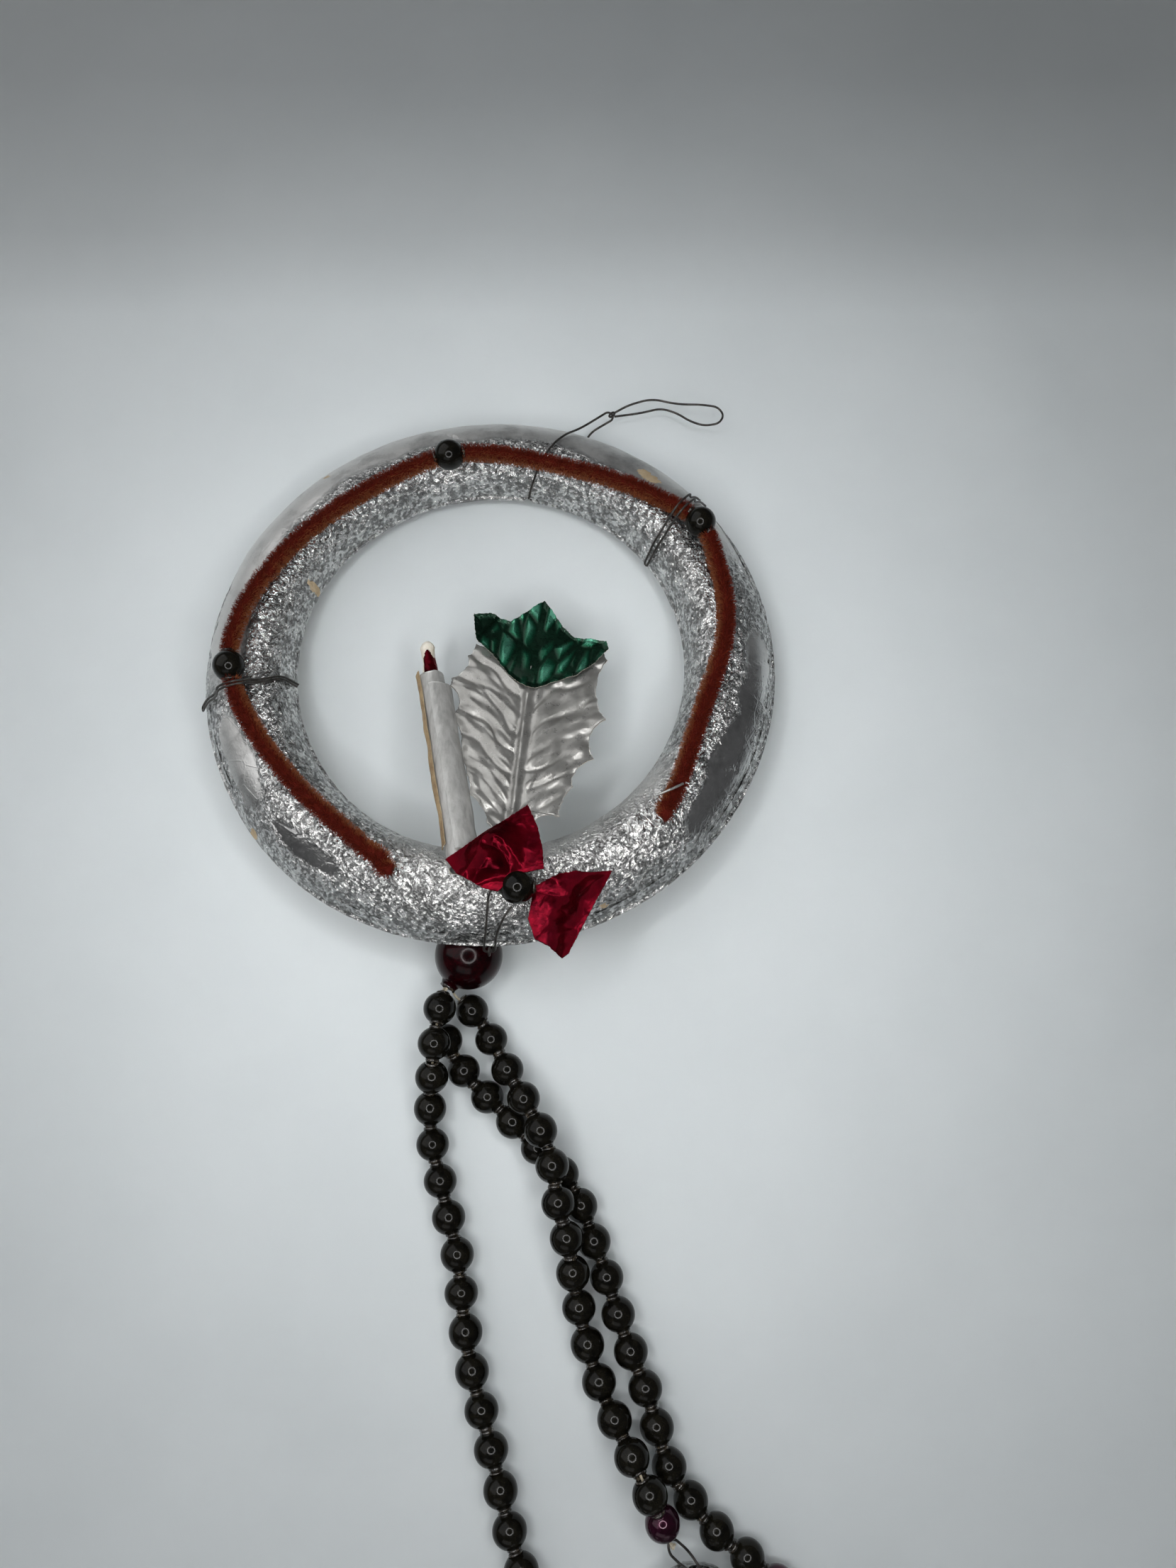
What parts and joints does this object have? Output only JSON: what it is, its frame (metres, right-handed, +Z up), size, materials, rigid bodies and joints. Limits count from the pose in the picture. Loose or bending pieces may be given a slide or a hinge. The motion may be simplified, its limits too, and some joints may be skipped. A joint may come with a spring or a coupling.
{
  "type": "hanging foil wreath ornament with icicle drops",
  "caption": "Foil-covered card wreath with chenille, candle, leaf and bow, a wire hanger, and a glass ball that carries bead strands ending in foil icicles; lies flat or hangs.",
  "frame": {"origin": "on the table under the middle of the wreath, its hanger and its glass ball, without the bead strands", "axes": "+Z up from the table, +Y from the strands towards the top of the wreath, +X to the right seen from the front face"},
  "size_m": [0.1704, 0.3893, 0.0385],
  "materials": {
    "dark_glass": "near-black tarnished blown glass, opaque",
    "purple_glass": "purple metallic blown glass, opaque",
    "garnet_glass": "dark garnet red blown glass, silvered inside, opaque",
    "cotton_thread": "twisted cotton, aged cream",
    "red_chenille": "cut pile, brick red fading to orange brown",
    "dark_wire": "dark annealed wire",
    "grey_card": "pressed grey-brown card, bare inside",
    "brown_card": "raw brown card edge",
    "silver_foil": "crinkled silver foil, dull on the outer flank",
    "icicle_foil": "crinkled silver foil",
    "paper_core": "rolled paper",
    "silver_paper": "satin silver-white paper",
    "cream_paper": "cream cotton paper",
    "red_foil": "crimson foil",
    "crimson_foil": "crumpled glossy crimson foil",
    "silver_leaf_foil": "embossed pearly silver foil paper",
    "green_foil": "embossed metallic green foil",
    "green_wrap": "paper-wrapped wire"
  },
  "bodies": {
    "wreath": {"ring_card": "grey_card", "ring_foil": "silver_foil", "chenille_core": "dark_wire", "chenille_pile_1": "red_chenille", "chenille_pile_2": "red_chenille", "chenille_pile_3": "red_chenille", "chenille_pile_4": "red_chenille", "ring_bead_left": "dark_glass", "ring_bead_top": "dark_glass", "ring_bead_right": "dark_glass", "left_tie_wire": "dark_wire", "right_tie_wire": "dark_wire", "hanger_wrap": "dark_wire", "candle_tube": "silver_paper", "candle_backing": "brown_card", "candle_flap": "silver_paper", "flame_plug": "cream_paper", "candle_flame": "cream_paper", "flame_foil": "red_foil", "silver_leaf": "silver_leaf_foil", "green_leaf_tip": "green_foil", "leaf_stem": "green_wrap", "bow_left_lobe": "crimson_foil", "bow_right_lobe": "crimson_foil", "bow_bead": "dark_glass", "bow_knot": "crimson_foil", "bow_wire": "dark_wire"},
    "hanger": {"hanger_loop": "dark_wire"},
    "drop": {"drop_ball": "garnet_glass", "drop_link": "dark_wire", "thread_left": "cotton_thread", "beads_left": "dark_glass", "end_bead_left": "purple_glass", "knot_left": "cotton_thread", "thread_middle": "cotton_thread", "beads_middle": "dark_glass", "end_bead_middle": "purple_glass", "knot_middle": "cotton_thread", "thread_right": "cotton_thread", "beads_right": "dark_glass", "end_bead_right": "purple_glass", "knot_right": "cotton_thread"},
    "icicle_left": {"icicle_loop_left": "dark_wire", "icicle_core_left": "paper_core", "icicle_foil_left": "icicle_foil"},
    "icicle_middle": {"icicle_loop_middle": "dark_wire", "icicle_core_middle": "paper_core", "icicle_foil_middle": "icicle_foil"},
    "icicle_right": {"icicle_loop_right": "dark_wire", "icicle_core_right": "paper_core", "icicle_foil_right": "icicle_foil"}
  },
  "joints": [
    {"name": "hanger_swing", "type": "hinge", "parent": "wreath", "child": "hanger", "pos_m": [0.0328, 0.07858, 0.00591], "axis": [-0.5101, 0.8544, -0.0989], "range_deg": [-75, 60]},
    {"name": "drop_swing", "type": "hinge", "parent": "wreath", "child": "drop", "pos_m": [0.0016, -0.07484, 0.01803], "axis": [-1, 0, 0], "range_deg": [0, 90]},
    {"name": "icicle_left_swing", "type": "hinge", "parent": "drop", "child": "icicle_left", "pos_m": [0.017, -0.232, 0.003], "axis": [-0.9927, -0.1203, 0], "range_deg": [0, 40]},
    {"name": "icicle_middle_swing", "type": "hinge", "parent": "drop", "child": "icicle_middle", "pos_m": [0.0454, -0.211, 0.0039], "axis": [-0.9968, 0.0797, 0], "range_deg": [0, 40]},
    {"name": "icicle_right_swing", "type": "hinge", "parent": "drop", "child": "icicle_right", "pos_m": [0.0756, -0.2246, 0.003], "axis": [-0.9949, -0.1005, 0], "range_deg": [0, 40]}
  ]
}
